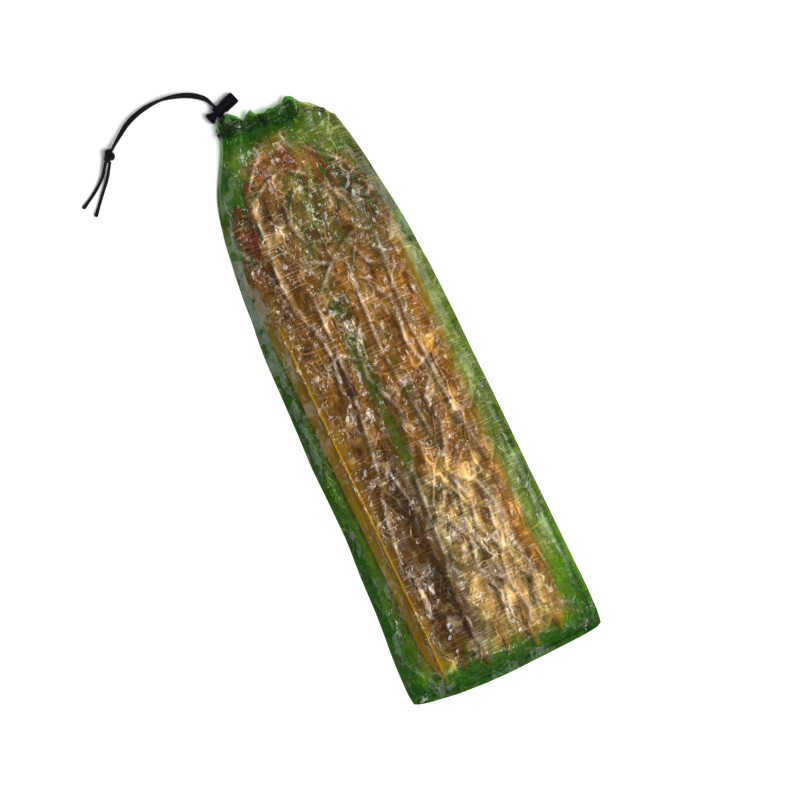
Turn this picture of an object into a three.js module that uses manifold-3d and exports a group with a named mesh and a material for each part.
// A drawstring stuff sack of clear green laminate film, lying flat on its back and drawn shut over
// a bundle of six Y-beam tent stakes, each with a red pull loop. A doubled cord runs from the
// gathered mouth through a spring cord lock to a stopper knot with two free tails.
//
// Units are millimetres. X runs across the sack to its right, Y along it towards the mouth, Z up.
// The origin is the middle of the flat underside that the sack rests on.
// Sack coordinates are [across, along]: along is measured from the bottom seam line.
import * as THREE from 'three';
import { mergeVertices } from 'three/addons/utils/BufferGeometryUtils.js';
import Module from 'manifold-3d';

const wasm = await Module();
wasm.setup();

// ---------- sack ----------
const ORIGIN_ALONG = 150;     // from the bottom seam line to the origin
const FILM_T = 0.3;           // film, drawn thicker than the real 0.08 mm laminate
const SEAM_H = 0.9;           // height of the closed edges
const EDGE_W = 9.5;           // run over which the front film climbs from an edge
const RIM_STATION = 292;      // the film's rim, just below the channel
const BOW_END = 34;           // station where the bow of the bottom edge has died out
const GATHER_START = 225;     // station where the film starts to follow the mouth
const INNER_BOTTOM_INSET = 1.2;
const POINTS_ACROSS = 17;
const EDGE_BUNCHING = 0.65;   // share of cosine spacing, which crowds points at the edges

const TAPE_T = 0.25;          // seam allowances
const TAPE_GAP = 0.1;         // clearance below a seam allowance, and above it to its stitches
const STITCH_LIFT = 0.2;      // from that clearance to the middle of the stitches
const SEAM_STITCH_R = 0.18;

// ---------- drawcord channel ----------
const CHANNEL_HALF_T = 1.45;  // outer half thickness
const CHANNEL_HALF_H = 3.4;   // outer half height, measured along the sack
const CHANNEL_WALL = 0.3;
const CHANNEL_FRONT_Z = 6.9;
const CHANNEL_BACK_Z = 2.3;
const CHANNEL_LEFT = -19.2;
const CHANNEL_RIGHT = 28.6;
const CHANNEL_RIM_GAP = 0.35;
const PLEAT_FADE = 4;         // run over which the pleats fade out at either end

// ---------- drawcord ----------
const CORD_R = 0.8;
const CORD_Z = 3.25;          // height of the doubled cord's middle
const STRAND_GAP = 0.84;      // half distance between the two stacked strands
const KNOT_RADII = [4.3, 3.1, 2.9];

// ---------- cord lock: distances along it start at the middle of the button ----------
const BARREL_R = 3.25;
const BORE_R = 2.65;
const PLUNGER_R = 2.5;
const BUTTON_R = 3.1;
const LOCK_ANGLE = THREE.MathUtils.degToRad(19.1);   // barrel axis from +X
const BUTTON_CENTRE = [-24.8, 310.7];                // sack coordinates
const SLOT_HALF_W = 2.0;      // along the barrel
const SLOT_HALF_H = 1.95;
const SLOT_CHAMFER = 0.7;
const SLOT_CUT_L = 12;        // length of the cutter, longer than the lock is wide
const BARREL_SLOT_AT = 6.3;
const PLUNGER_SLOT_AT = 4.4;  // while the spring holds the plunger out
const CORD_AT = (BARREL_SLOT_AT + PLUNGER_SLOT_AT) / 2;
const SPRING = { radius: 1.9, wireRadius: 0.22, turns: 5, start: 8.55, end: 14.75 };

// ---------- stakes ----------
const FIN_R = 6.0;            // stake centre to fin edge
const FIN_T = 1.3;
const FIN_CHAMFER_IN = 0.4;   // fin edge chamfer: towards the centre, and across the fin
const FIN_CHAMFER_W = 0.3;
const STAKE_L = 228;
const TIP_L = 24;             // taper to the point
const STAKE_AXIS_Z = 4.15;    // height of a stake's axis when it rests on two fins
const END_TRIM = 0.02;        // shaved off both ends of the shaft
const HOLE_R = 1.7;           // hole for the pull loop
const HOLE_OUT = 3.5;         // hole from the stake's axis
const HOLE_STATION = STAKE_L - 5.2;
const NOTCH_STATION = STAKE_L - 13;
const LOOP_R = 1.1;           // pull loop cord
const LOOP_END_Z = 3.0;

// outline of the flat sack: [station, left edge, right edge]
const OUTLINE = [
  [-5, -50.6, 49.2], [0, -51.8, 50.2], [5, -52.6, 51.0], [20, -52.5, 51.2], [30, -52.0, 50.8],
  [40, -51.2, 50.5], [50, -50.6, 50.2], [70, -50.2, 49.6], [90, -49.1, 48.9], [110, -49.5, 48.5],
  [130, -50.2, 48.0], [150, -49.6, 47.2], [170, -49.4, 46.8], [190, -49.2, 46.0],
  [200, -48.5, 45.5], [210, -47.4, 44.6], [220, -47.0, 44.0], [230, -46.0, 43.0],
  [240, -44.8, 41.6], [250, -43.6, 40.1], [260, -41.8, 38.6], [265, -40.6, 37.8],
  [270, -39.2, 36.9], [275, -37.2, 36.0], [280, -34.4, 34.9], [285, -31.6, 33.6],
  [290, -28.6, 32.2], [292, -27.4, 31.6], [300, -24.0, 30.0],
];
const LEFT = 1;               // columns of OUTLINE
const RIGHT = 2;
// bow of the bottom edge: [across, along]
const BOTTOM = [
  [-53, 1.6], [-50, 0], [-45, -1.2], [-30, -3.2], [-15, -4], [0, -4], [20, -3], [40, -2],
  [48, -1], [50.5, 0.5], [52, 2],
];
// the front film over the contents: [station, height]
const CROWN = [
  [0, 0.9], [2, 6.8], [6, 8.2], [13, 9.8], [20, 11.1], [30, 11.7], [60, 12.1], [200, 12.1],
  [232, 12.1], [250, 10.7], [270, 9.4], [282, 8.8], [292, 8.0], [300, 8.0],
];
// middle line of the drawcord channel along the gathered mouth: [across, along]
const MOUTH = [
  [-24, 304.2], [-19, 303.8], [-10, 302.4], [0, 301.6], [10, 299.6], [20, 297.8], [28, 294.4],
  [33, 291.2],
];
// stations of the film's rings
const FILM_STATIONS = [
  0, 2, 6, 13, 20, 34, 50, 70, 95, 120, 145, 170, 195, 215, 232, 244, 256, 266, 274, 281, 287,
  RIM_STATION,
];
const SIDE_TAPE_STATIONS = [9, 20, 40, 70, 110, 150, 190, 210, 230, 250, 262, 272, 280];
const SIDE_STITCH_STATIONS = [12, 40, 70, 110, 150, 190, 210, 230, 250, 262, 276];
// places across the sack
const BOTTOM_TAPE_ACROSS = [-46, -38, -30, -20, -10, 0, 10, 20, 30, 38, 42];
const BOTTOM_STITCH_ACROSS = [-44.5, -38, -30, -20, -10, 0, 10, 20, 30, 40.5];

// the cord between the lock and the channel's open end: [across, along, front z, back z]
const CORD_EXIT = [
  [-19.1, 308.5, CORD_Z + STRAND_GAP + 0.1, CORD_Z - STRAND_GAP - 0.1],
  [-20.9, 307.2, 5.6, 1.9],
  [-21.9, 305.4, 6.7, 2.2],
  [-20.8, 303.95, CHANNEL_FRONT_Z, CHANNEL_BACK_Z],
];
// the doubled cord from the lock to the knot: [across, along]
const CORD_LEAD = [
  [-23.0, 320.4], [-26.4, 323.6], [-30.8, 326.2], [-36.6, 328.2], [-43.0, 329.4], [-50.0, 329.4],
  [-57.6, 328.0], [-64.4, 325.3], [-70.3, 321.4], [-75.3, 317.9],
];
// free ends beyond the knot: [across, along, z]
const TAIL_A = [[-82.3, 311.9, 3.0], [-85.6, 307.2, 1.9], [-92.6, 301.3, 1.0], [-101.4, 296.0, 0.95]];
const TAIL_B = [[-80.9, 309.9, 3.0], [-84.2, 305.2, 1.9], [-90.2, 298.2, 1.0], [-97.4, 289.8, 0.95]];

// tip and head: [across, along]; turn: degrees about the stake's axis; axisZ: height of the axis
// loopEnd: far end of the pull loop, [across, along]; loopHalfW: half its width
const STAKES = [
  { tip: [-32.2, 3.6], head: [-38.0, 231.5], turn: 9, axisZ: 4.85,
    loopEnd: [-31.4, 263.0], loopHalfW: 2.4 },
  { tip: [-20.6, 6.2], head: [-27.0, 234.1], loopEnd: [-22.5, 272.0], loopHalfW: 3.0 },
  { tip: [-9.2, 3.4], head: [-15.8, 231.3], loopEnd: [-12.0, 279.0], loopHalfW: 3.2 },
  { tip: [3.0, 4.6], head: [2.2, 232.6], loopEnd: [1.5, 283.0], loopHalfW: 5.0 },
  { tip: [17.0, 3.0], head: [19.4, 231.0], loopEnd: [14.5, 278.0], loopHalfW: 3.2 },
  { tip: [31.6, 5.0], head: [33.8, 233.0], loopEnd: [25.5, 268.0], loopHalfW: 3.0 },
];

// ---------- materials ----------
const standard = (settings) => new THREE.MeshStandardMaterial(settings);
const materials = {
  film: () => standard({
    color: 0x4f9a2c, roughness: 0.35, metalness: 0, transparent: true, opacity: 0.6,
  }),
  hem: () => standard({ color: 0x2f8a2a, roughness: 0.4, metalness: 0 }),
  tape: () => standard({ color: 0x3f8c28, roughness: 0.5, metalness: 0 }),
  blackCord: () => standard({ color: 0x0c0c10, roughness: 0.75, metalness: 0 }),
  plastic: () => standard({ color: 0x08080c, roughness: 0.35, metalness: 0 }),
  thread: () => standard({ color: 0x101512, roughness: 0.7, metalness: 0 }),
  anodised: () => standard({ color: 0xe0641a, roughness: 0.3, metalness: 0.9 }),
  redCord: () => standard({ color: 0xc0301c, roughness: 0.7, metalness: 0 }),
  steel: () => standard({ color: 0xb8bcc0, roughness: 0.3, metalness: 1 }),
};

// ---------- helpers ----------
const { clamp, degToRad, smoothstep } = THREE.MathUtils;
const vec = (x, y, z) => new THREE.Vector3(x, y, z);
// sack coordinates and a height to the model frame
const sackPoint = (across, along, z) => vec(across, along - ORIGIN_ALONG, z);

// linear interpolation in a table whose first column rises; held constant beyond its ends
const lookUp = (table, x, column = 1) => {
  const next = table.findIndex((row) => x <= row[0]);
  if (next === -1) return table.at(-1)[column];
  if (next === 0) return table[0][column];
  const low = table[next - 1];
  const high = table[next];
  const fraction = (x - low[0]) / (high[0] - low[0]);
  return low[column] + fraction * (high[column] - low[column]);
};

const toManifold = (geometry) => {
  const bare = geometry.clone();
  bare.deleteAttribute('normal');
  bare.deleteAttribute('uv');
  const merged = mergeVertices(bare, 1e-4);
  return new wasm.Manifold(new wasm.Mesh({
    numProp: 3,
    vertProperties: new Float32Array(merged.attributes.position.array),
    triVerts: new Uint32Array(merged.index.array),
  }));
};

const fromManifold = (solid) => {
  const mesh = solid.getMesh();
  const geometry = new THREE.BufferGeometry();
  const positions = new Float32Array(mesh.vertProperties);
  geometry.setAttribute('position', new THREE.BufferAttribute(positions, 3));
  geometry.setIndex(new THREE.BufferAttribute(new Uint32Array(mesh.triVerts), 1));
  geometry.computeVertexNormals();
  return geometry;
};

// a closed surface, turned inside out if its faces point in
const closedGeometry = (points, indices) => {
  let volume = 0;
  for (let i = 0; i < indices.length; i += 3) {
    const [a, b, c] = indices.slice(i, i + 3).map((index) => points[index]);
    volume += a.dot(b.clone().cross(c));
  }
  if (volume < 0) {
    for (let i = 0; i < indices.length; i += 3) {
      [indices[i + 1], indices[i + 2]] = [indices[i + 2], indices[i + 1]];
    }
  }
  const geometry = new THREE.BufferGeometry().setFromPoints(points);
  geometry.setIndex(indices);
  geometry.computeVertexNormals();
  return geometry;
};

// the two triangles of a quad, and the same two facing the other way
const quad = (a, b, c, d) => [a, b, c, a, c, d];
const quadBack = (a, b, c, d) => [a, c, b, a, d, c];

// an outer and an inner wall through matching rings, their ends still unjoined
const doubleWall = (outerRings, innerRings) => {
  const size = outerRings[0].length;
  const innerStart = size * outerRings.length;
  const indices = [];
  for (let j = 0; j + 1 < outerRings.length; j++) {
    for (let i = 0; i < size; i++) {
      const corners = [j * size + i, j * size + (i + 1) % size];
      corners.push(corners[1] + size, corners[0] + size);
      indices.push(...quad(...corners));
      indices.push(...quadBack(...corners.map((index) => index + innerStart)));
    }
  }
  return {
    points: [...outerRings, ...innerRings].flat(), indices, size, innerStart,
    lastRing: innerStart - size,
  };
};

// corners of the quad that joins the two walls at side i of the ring that starts at ringStart
const rimCorners = ({ size, innerStart }, ringStart, i) => {
  const a = ringStart + i;
  const b = ringStart + (i + 1) % size;
  return [a, b, innerStart + b, innerStart + a];
};

// a solid ribbon of tape thickness on pairs of lower edge points
const ribbon = (pairs) => {
  const rings = pairs.map(([a, b]) => [
    a, b, vec(b.x, b.y, b.z + TAPE_T), vec(a.x, a.y, a.z + TAPE_T),
  ]);
  const size = 4;
  const points = rings.flat();
  const indices = [];
  for (let j = 0; j + 1 < rings.length; j++) {
    for (let i = 0; i < size; i++) {
      const a = j * size + i;
      const b = j * size + (i + 1) % size;
      indices.push(...quad(a, b, b + size, a + size));
    }
  }
  // each end is a fan of triangles about its centre
  for (const ringIndex of [0, rings.length - 1]) {
    const centre = vec(0, 0, 0);
    rings[ringIndex].forEach((point) => centre.add(point));
    const hub = points.push(centre.multiplyScalar(1 / size)) - 1;
    for (let i = 0; i < size; i++) {
      const a = ringIndex * size + i;
      const b = ringIndex * size + (i + 1) % size;
      indices.push(...(ringIndex === 0 ? [hub, b, a] : [hub, a, b]));
    }
  }
  return closedGeometry(points, indices);
};

const cordSection = (radius, sides) => new THREE.Shape(Array.from({ length: sides }, (_, i) => {
  const angle = 2 * Math.PI * (i + 0.5) / sides;
  return new THREE.Vector2(radius * Math.cos(angle), radius * Math.sin(angle));
}));
const cordAlong = (points, { radius, steps, sides = 6 }) => new THREE.ExtrudeGeometry(
  cordSection(radius, sides),
  {
    steps,
    extrudePath: new THREE.CatmullRomCurve3(points, false, 'centripetal'),
    bevelEnabled: false,
  },
);

// revolves a profile of [radius, height] about Z
const lathe = (profile, segments) => new THREE.LatheGeometry(
  profile.map(([radius, height]) => new THREE.Vector2(radius, height)), segments,
).rotateX(Math.PI / 2);

// ---------- film sack: one sheet, folded along its left edge, open only at the mouth ----------
const rimOffset = (across) => (
  lookUp(MOUTH, across) - CHANNEL_HALF_H - CHANNEL_RIM_GAP - RIM_STATION
);
// the true distance along the sack: the bottom edge bows and the rim follows the mouth
const alongAt = (across, station) => station
  + lookUp(BOTTOM, across) * (1 - smoothstep(station, 0, BOW_END))
  + rimOffset(across) * smoothstep(station, GATHER_START, RIM_STATION);

const rise = (fromEdge) => Math.sin(Math.PI / 2 * clamp(fromEdge / EDGE_W, 0, 1));
const filmTop = (across, station) => {
  const left = lookUp(OUTLINE, station, LEFT);
  const right = lookUp(OUTLINE, station, RIGHT);
  const peak = lookUp(CROWN, station) - SEAM_H;
  return SEAM_H + peak * Math.min(rise(across - left), rise(right - across));
};

// one ring: the back film from left to right, then the front film from right to left
const filmRing = (station, inset) => {
  const left = lookUp(OUTLINE, station, LEFT) + inset;
  const right = lookUp(OUTLINE, station, RIGHT) - inset;
  const bottomInset = inset && station === 0 ? INNER_BOTTOM_INSET : 0;
  const back = [];
  for (let i = 0; i < POINTS_ACROSS; i++) {
    const even = i / (POINTS_ACROSS - 1);
    const bunched = (1 - Math.cos(Math.PI * even)) / 2;
    const share = (1 - EDGE_BUNCHING) * even + EDGE_BUNCHING * bunched;
    const across = left + (right - left) * share;
    back.push(sackPoint(across, alongAt(across, station) + bottomInset, inset));
  }
  const front = back.map(({ x, y }) => vec(x, y, filmTop(x, station) - inset)).reverse();
  return [...back, ...front];
};

const filmSack = () => {
  const walls = doubleWall(
    FILM_STATIONS.map((station) => filmRing(station, 0)),
    FILM_STATIONS.map((station) => filmRing(station, FILM_T)),
  );
  const { points, indices, size, innerStart, lastRing } = walls;
  // rim of the open mouth
  for (let i = 0; i < size; i++) indices.push(...quad(...rimCorners(walls, lastRing, i)));
  // closed bottom edge, as strips between the back and front rows
  for (let i = 0; i + 1 < POINTS_ACROSS; i++) {
    const corners = [i, i + 1, size - 2 - i, size - 1 - i];
    indices.push(...quadBack(...corners));
    indices.push(...quad(...corners.map((index) => index + innerStart)));
  }
  return closedGeometry(points, indices);
};

// ---------- seam allowances inside the sack, each with its row of stitches ----------
const TAPE_Z = FILM_T + TAPE_GAP;
const SEAM_STITCH_Z = TAPE_Z + TAPE_T + TAPE_GAP + STITCH_LIFT;

// a point a given distance in from the right edge
const besideRightEdge = (station, distance, z) => {
  const across = lookUp(OUTLINE, station, RIGHT) - distance;
  return sackPoint(across, alongAt(across, station), z);
};
// a point a given distance up from the bottom edge
const aboveBottom = (across, distance, z) => (
  sackPoint(across, lookUp(BOTTOM, across) + distance, z)
);

const sideSeamAllowance = () => ribbon(SIDE_TAPE_STATIONS.map((station) => [
  besideRightEdge(station, 6.3, TAPE_Z),
  besideRightEdge(station, 1.3, TAPE_Z),
]));
const sideSeamStitching = () => cordAlong(
  SIDE_STITCH_STATIONS.map((station) => besideRightEdge(station, 2.6, SEAM_STITCH_Z)),
  { radius: SEAM_STITCH_R, steps: 22, sides: 4 },
);
const bottomSeamAllowance = () => ribbon(BOTTOM_TAPE_ACROSS.map((across) => [
  aboveBottom(across, 5.6, TAPE_Z),
  aboveBottom(across, 2.0, TAPE_Z),
]));
const bottomSeamStitching = () => cordAlong(
  BOTTOM_STITCH_ACROSS.map((across) => aboveBottom(across, 3.0, SEAM_STITCH_Z)),
  { radius: SEAM_STITCH_R, steps: 20, sides: 4 },
);

// ---------- drawcord channel around the gathered mouth, open at its left end ----------
// the middle line runs along the front pleats, round the right end and back along the rear
const channelLine = (() => {
  const points = [];
  const width = CHANNEL_RIGHT - CHANNEL_LEFT;
  const frontSteps = 32;
  const turnSteps = 7;
  const backSteps = 12;
  for (let i = 0; i <= frontSteps; i++) {
    const across = CHANNEL_LEFT + width * i / frontSteps;
    const fade = smoothstep(across - CHANNEL_LEFT, 0, PLEAT_FADE)
      * smoothstep(CHANNEL_RIGHT - across, 0, PLEAT_FADE);
    const sway = 0.5 * fade * Math.cos(2 * Math.PI * across / 11);
    const pleat = 0.75 * fade * Math.sin(2 * Math.PI * (across + 1.5) / 8.4);
    points.push([across, lookUp(MOUTH, across) + sway, CHANNEL_FRONT_Z + pleat]);
  }
  const middleZ = (CHANNEL_FRONT_Z + CHANNEL_BACK_Z) / 2;
  const turnR = (CHANNEL_FRONT_Z - CHANNEL_BACK_Z) / 2;
  for (let i = 1; i < turnSteps; i++) {
    const angle = Math.PI / 2 - Math.PI * i / turnSteps;
    const across = CHANNEL_RIGHT + turnR * Math.cos(angle);
    points.push([across, lookUp(MOUTH, across), middleZ + turnR * Math.sin(angle)]);
  }
  for (let i = 0; i <= backSteps; i++) {
    const across = CHANNEL_RIGHT - width * i / backSteps;
    points.push([across, lookUp(MOUTH, across), CHANNEL_BACK_Z]);
  }
  return points;
})();

// places on the line, each with the normal that points out of the mouth's ring
const channelFrames = channelLine.map(([across, along, z], i, all) => {
  const before = all[Math.max(0, i - 1)];
  const after = all[Math.min(all.length - 1, i + 1)];
  const run = after[0] - before[0];
  const climb = after[2] - before[2];
  const length = Math.hypot(run, climb);
  return { across, along, z, normalX: -climb / length, normalZ: run / length };
});
const framePoint = (frame, out, up) => sackPoint(
  frame.across + frame.normalX * out, frame.along + up, frame.z + frame.normalZ * out,
);

// a slot-shaped section with round ends: [out, up]
const stadium = (halfT, halfH) => {
  const arcSteps = 3;
  const points = [];
  for (const side of [1, -1]) {
    for (let i = 0; i <= arcSteps; i++) {
      const angle = Math.PI * i / arcSteps;
      const up = halfH - halfT + halfT * Math.sin(angle);
      points.push([side * halfT * Math.cos(angle), side * up]);
    }
  }
  return points;
};

const drawcordChannel = () => {
  const ringsOf = (section) => (
    channelFrames.map((frame) => section.map(([out, up]) => framePoint(frame, out, up)))
  );
  const walls = doubleWall(
    ringsOf(stadium(CHANNEL_HALF_T, CHANNEL_HALF_H)),
    ringsOf(stadium(CHANNEL_HALF_T - CHANNEL_WALL, CHANNEL_HALF_H - CHANNEL_WALL)),
  );
  const { points, indices, size, lastRing } = walls;
  for (let i = 0; i < size; i++) {
    indices.push(...quadBack(...rimCorners(walls, 0, i)));
    indices.push(...quad(...rimCorners(walls, lastRing, i)));
  }
  return closedGeometry(points, indices);
};

// one row of stitches round the outside of the channel
const channelStitching = () => cordAlong(
  channelFrames
    .filter((frame, i) => i % 2 === 0 && i > 1 && i < channelFrames.length - 2)
    .map((frame) => framePoint(frame, CHANNEL_HALF_T + 0.5, -1.7)),
  { radius: 0.16, steps: 54, sides: 4 },
);

// dense stitches beside the cord exit
const addExitBartack = () => {
  const { across, along } = channelFrames[1];
  const bartack = addMesh('exit_bartack', new THREE.BoxGeometry(0.9, 4.2, 0.5), materials.thread());
  bartack.position.copy(sackPoint(across + 0.6, along, CHANNEL_FRONT_Z + CHANNEL_HALF_T + 0.75));
};

// ---------- drawcord ----------
const lockAxis = [Math.cos(LOCK_ANGLE), Math.sin(LOCK_ANGLE)];
const cordDir = [-lockAxis[1], lockAxis[0]];   // the way the cord leaves the lock
const clampedCordPoint = (beyond) => [0, 1].map((k) => (
  BUTTON_CENTRE[k] + lockAxis[k] * CORD_AT + cordDir[k] * beyond
));

// one loop round the mouth inside the channel, with both ends led out to the lock
const drawcordInChannel = () => {
  const start = CORD_EXIT.map(([across, along, frontZ]) => sackPoint(across, along, frontZ));
  const inside = channelFrames
    .filter((frame, i) => i % 2 === 0 || i === channelFrames.length - 1)
    .map(({ across, along, z }) => sackPoint(across, along, z));
  const end = CORD_EXIT.map(([across, along, , backZ]) => sackPoint(across, along, backZ));
  return cordAlong([...start, ...inside, ...end.reverse()], { radius: CORD_R, steps: 110 });
};

// one of the two stacked strands from the mouth, through the lock, to the knot
const cordStrand = (z) => cordAlong(
  [...[-3.6, 0, 3.6].map(clampedCordPoint), ...CORD_LEAD]
    .map(([across, along]) => sackPoint(across, along, z)),
  { radius: CORD_R, steps: 34 },
);

const addStopperKnot = () => {
  const ball = new THREE.SphereGeometry(1, 12, 8);
  const knot = addMesh('stopper_knot', ball, materials.blackCord());
  knot.scale.set(...KNOT_RADII);
  knot.rotation.z = degToRad(52);
  knot.position.copy(sackPoint(-78.9, 314.6, CORD_Z));
};

const cordTail = (path) => cordAlong(
  path.map((place) => sackPoint(...place)), { radius: CORD_R, steps: 12 },
);

// ---------- cord lock: built about +Z, then laid along the lock's axis with local X up ----------
const lockMatrix = new THREE.Matrix4()
  .makeBasis(vec(0, 0, 1), vec(-cordDir[0], -cordDir[1], 0), vec(...lockAxis, 0))
  .setPosition(sackPoint(...BUTTON_CENTRE, BARREL_R + 0.02));

// cutter for the chamfered cord slot: right through along local Y, its height in local X
const slotCutter = (at) => {
  const w = SLOT_HALF_W;
  const h = SLOT_HALF_H;
  const c = SLOT_CHAMFER;
  const shape = new THREE.Shape([
    [-h + c, -w], [h - c, -w], [h, -w + c], [h, w - c],
    [h - c, w], [-h + c, w], [-h, w - c], [-h, -w + c],
  ].map(([x, y]) => new THREE.Vector2(x, y)));
  // shape x to local X, shape y to local Z, depth to local -Y
  const placement = new THREE.Matrix4()
    .makeBasis(vec(1, 0, 0), vec(0, 0, 1), vec(0, -1, 0))
    .setPosition(0, SLOT_CUT_L / 2, at);
  return new THREE.ExtrudeGeometry(shape, { depth: SLOT_CUT_L, bevelEnabled: false })
    .applyMatrix4(placement);
};
const lockPart = (profile, slotAt) => {
  const solid = toManifold(lathe(profile, 22)).subtract(toManifold(slotCutter(slotAt)));
  return fromManifold(solid).applyMatrix4(lockMatrix);
};

// a cup, open towards the button
const lockBarrel = () => lockPart([
  [0, 15.2], [BORE_R, 15.2], [BORE_R, 3.4], [3.0, 3.4], [BARREL_R, 3.9], [BARREL_R, 15.7],
  [2.75, 16.4], [0, 16.4],
], BARREL_SLOT_AT);
// the button and its stem
const lockPlunger = () => lockPart([
  [0, -1.4], [2.3, -1.4], [BUTTON_R, -0.7], [BUTTON_R, 0.7], [PLUNGER_R, 1.3], [PLUNGER_R, 8.1],
  [0, 8.1],
], PLUNGER_SLOT_AT);

const lockSpring = () => {
  const { radius, wireRadius, turns, start, end } = SPRING;
  const perTurn = 8;
  const count = turns * perTurn;
  const points = [];
  for (let i = 0; i <= count; i++) {
    const angle = 2 * Math.PI * i / perTurn;
    const height = start + (end - start) * i / count;
    points.push(vec(radius * Math.cos(angle), radius * Math.sin(angle), height)
      .applyMatrix4(lockMatrix));
  }
  return cordAlong(points, { radius: wireRadius, steps: 50, sides: 4 });
};

// ---------- stakes: drawn along +Z from the point to the head, one fin towards +Y ----------
const stakeSection = () => {
  const points = [];
  const halfT = FIN_T / 2;
  const rootR = halfT / Math.sin(degToRad(60));   // where two neighbouring fins meet
  for (let fin = 0; fin < 3; fin++) {
    const angle = degToRad(90 + 120 * fin);
    const cos = Math.cos(angle);
    const sin = Math.sin(angle);
    const finPoint = (out, side) => (
      new THREE.Vector2(out * cos - side * sin, out * sin + side * cos)
    );
    const rootAngle = angle + degToRad(60);
    points.push(
      finPoint(FIN_R - FIN_CHAMFER_IN, -halfT),
      finPoint(FIN_R, -halfT + FIN_CHAMFER_W),
      finPoint(FIN_R, halfT - FIN_CHAMFER_W),
      finPoint(FIN_R - FIN_CHAMFER_IN, halfT),
      new THREE.Vector2(rootR * Math.cos(rootAngle), rootR * Math.sin(rootAngle)),
    );
  }
  return new THREE.Shape(points);
};

const stakeBody = (() => {
  const shaft = new THREE.ExtrudeGeometry(stakeSection(), {
    depth: STAKE_L, bevelEnabled: false,
  });
  // trims the shaft to a point and chamfers its head
  const envelope = lathe([
    [0, END_TRIM], [0.7, END_TRIM], [FIN_R + 0.5, TIP_L], [FIN_R + 0.5, STAKE_L - 2.2],
    [FIN_R - 1.6, STAKE_L - END_TRIM], [0, STAKE_L - END_TRIM],
  ], 24);
  // a closed profile, so the notch is a ring round all three fins
  const notch = lathe([
    [4.4, NOTCH_STATION + 1.2], [4.4, NOTCH_STATION - 0.2], [7.5, NOTCH_STATION - 1.4],
    [7.5, NOTCH_STATION + 1.6], [4.4, NOTCH_STATION + 1.2],
  ], 24);
  const hole = new THREE.CylinderGeometry(HOLE_R, HOLE_R, 6, 12)
    .rotateZ(Math.PI / 2)
    .translate(0, HOLE_OUT, HOLE_STATION);
  return toManifold(shaft)
    .intersect(toManifold(envelope))
    .subtract(toManifold(notch))
    .subtract(toManifold(hole));
})();

// a cord through the hole whose two legs meet in a knot at the far end
const pullLoop = (hole, end, halfW, yaw) => {
  const across = vec(Math.cos(yaw), Math.sin(yaw), 0);
  const ahead = vec(-Math.sin(yaw), Math.cos(yaw), 0);
  const shoulder = Math.max(2.7, halfW * 0.85);
  // a fraction of the way from the hole to the end, moved sideways and in height
  const between = (fraction, side, lift = 0) => hole.clone()
    .lerp(end, fraction)
    .addScaledVector(across, side)
    .add(vec(0, 0, lift));
  // one leg, from the knot to the hole; side is -1 or 1
  const leg = (side) => [
    between(0.97, side * 0.9),
    between(0.72, side * halfW * 0.8, -0.4),
    between(0.42, side * halfW, -1.2),
    between(0.2, side * shoulder, -1.1),
    hole.clone().addScaledVector(across, side * 2.6).addScaledVector(ahead, 1.4),
    hole.clone().addScaledVector(across, side * 1.2),
  ];
  const cord = cordAlong([...leg(-1), ...leg(1).reverse()], { radius: LOOP_R, steps: 28 });
  const direction = end.clone().sub(hole);
  const placement = new THREE.Matrix4()
    .makeRotationZ(Math.atan2(-direction.x, direction.y))
    .setPosition(end);
  const knot = new THREE.SphereGeometry(1, 8, 6).scale(2.2, 2.9, 2.1).applyMatrix4(placement);
  return fromManifold(toManifold(cord).add(toManifold(knot)));
};

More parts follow.
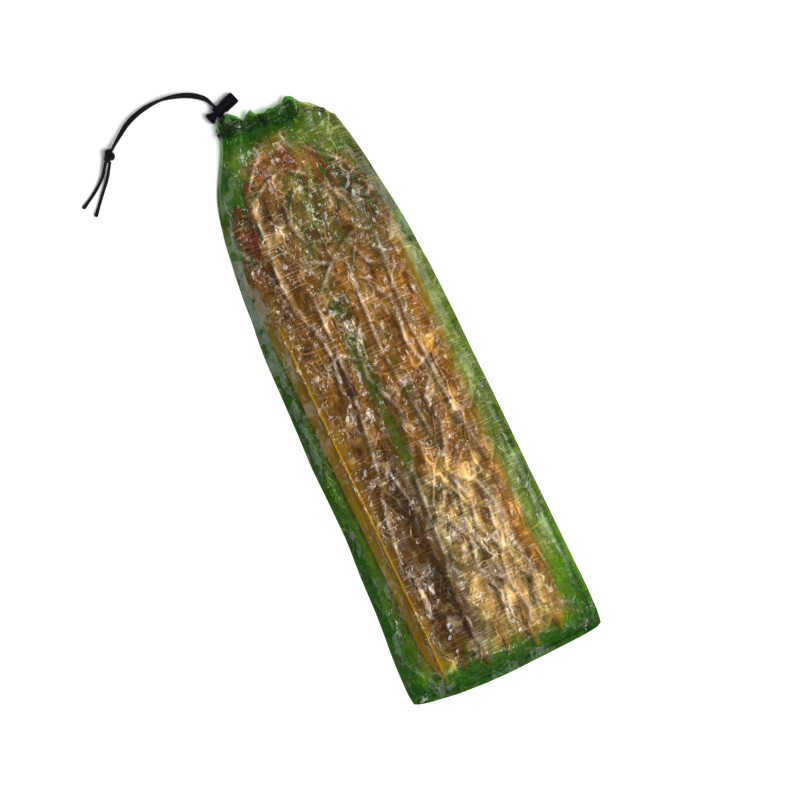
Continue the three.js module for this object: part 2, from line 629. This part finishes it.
const addStake = ({ tip, head, turn = 0, axisZ = STAKE_AXIS_Z, loopEnd, loopHalfW }, i) => {
  const yaw = Math.atan2(tip[0] - head[0], head[1] - tip[1]);
  const tipPoint = sackPoint(...tip, axisZ);
  const holder = new THREE.Group();
  holder.position.copy(tipPoint);
  holder.rotation.set(0, 0, yaw);
  root.add(holder);

  const body = fromManifold(stakeBody);
  const stake = addMesh(`stake_${i + 1}`, body, materials.anodised(), holder);
  // the drawn axis +Z is laid along +Y with one fin up, then turned about that axis
  const cos = Math.cos(degToRad(turn));
  const sin = Math.sin(degToRad(turn));
  stake.setRotationFromMatrix(new THREE.Matrix4().makeBasis(
    vec(-cos, 0, sin), vec(sin, 0, cos), vec(0, 1, 0),
  ));
  stake.updateMatrix();

  const hole = vec(0, HOLE_OUT, HOLE_STATION)
    .applyMatrix4(stake.matrix)
    .applyAxisAngle(vec(0, 0, 1), yaw)
    .add(tipPoint);
  const loop = pullLoop(hole, sackPoint(...loopEnd, LOOP_END_Z), loopHalfW, yaw);
  addMesh(`pull_loop_${i + 1}`, loop, materials.redCord());
};

// ---------- assembly ----------
const root = new THREE.Group();
const addMesh = (name, geometry, material, parent = root) => {
  const mesh = new THREE.Mesh(geometry, material);
  mesh.name = name;
  parent.add(mesh);
  return mesh;
};

addMesh('film_sack', filmSack(), materials.film());
addMesh('side_seam_allowance', sideSeamAllowance(), materials.tape());
addMesh('side_seam_stitching', sideSeamStitching(), materials.thread());
addMesh('bottom_seam_allowance', bottomSeamAllowance(), materials.tape());
addMesh('bottom_seam_stitching', bottomSeamStitching(), materials.thread());
addMesh('drawcord_channel', drawcordChannel(), materials.hem());
addMesh('channel_stitching', channelStitching(), materials.thread());
addExitBartack();
addMesh('drawcord_in_channel', drawcordInChannel(), materials.blackCord());
addMesh('cord_strand_a', cordStrand(CORD_Z + STRAND_GAP), materials.blackCord());
addMesh('cord_strand_b', cordStrand(CORD_Z - STRAND_GAP), materials.blackCord());
addStopperKnot();
addMesh('cord_tail_a', cordTail(TAIL_A), materials.blackCord());
addMesh('cord_tail_b', cordTail(TAIL_B), materials.blackCord());
addMesh('cord_lock_barrel', lockBarrel(), materials.plastic());
addMesh('cord_lock_plunger', lockPlunger(), materials.plastic());
addMesh('cord_lock_spring', lockSpring(), materials.steel());
STAKES.forEach(addStake);

export default root;
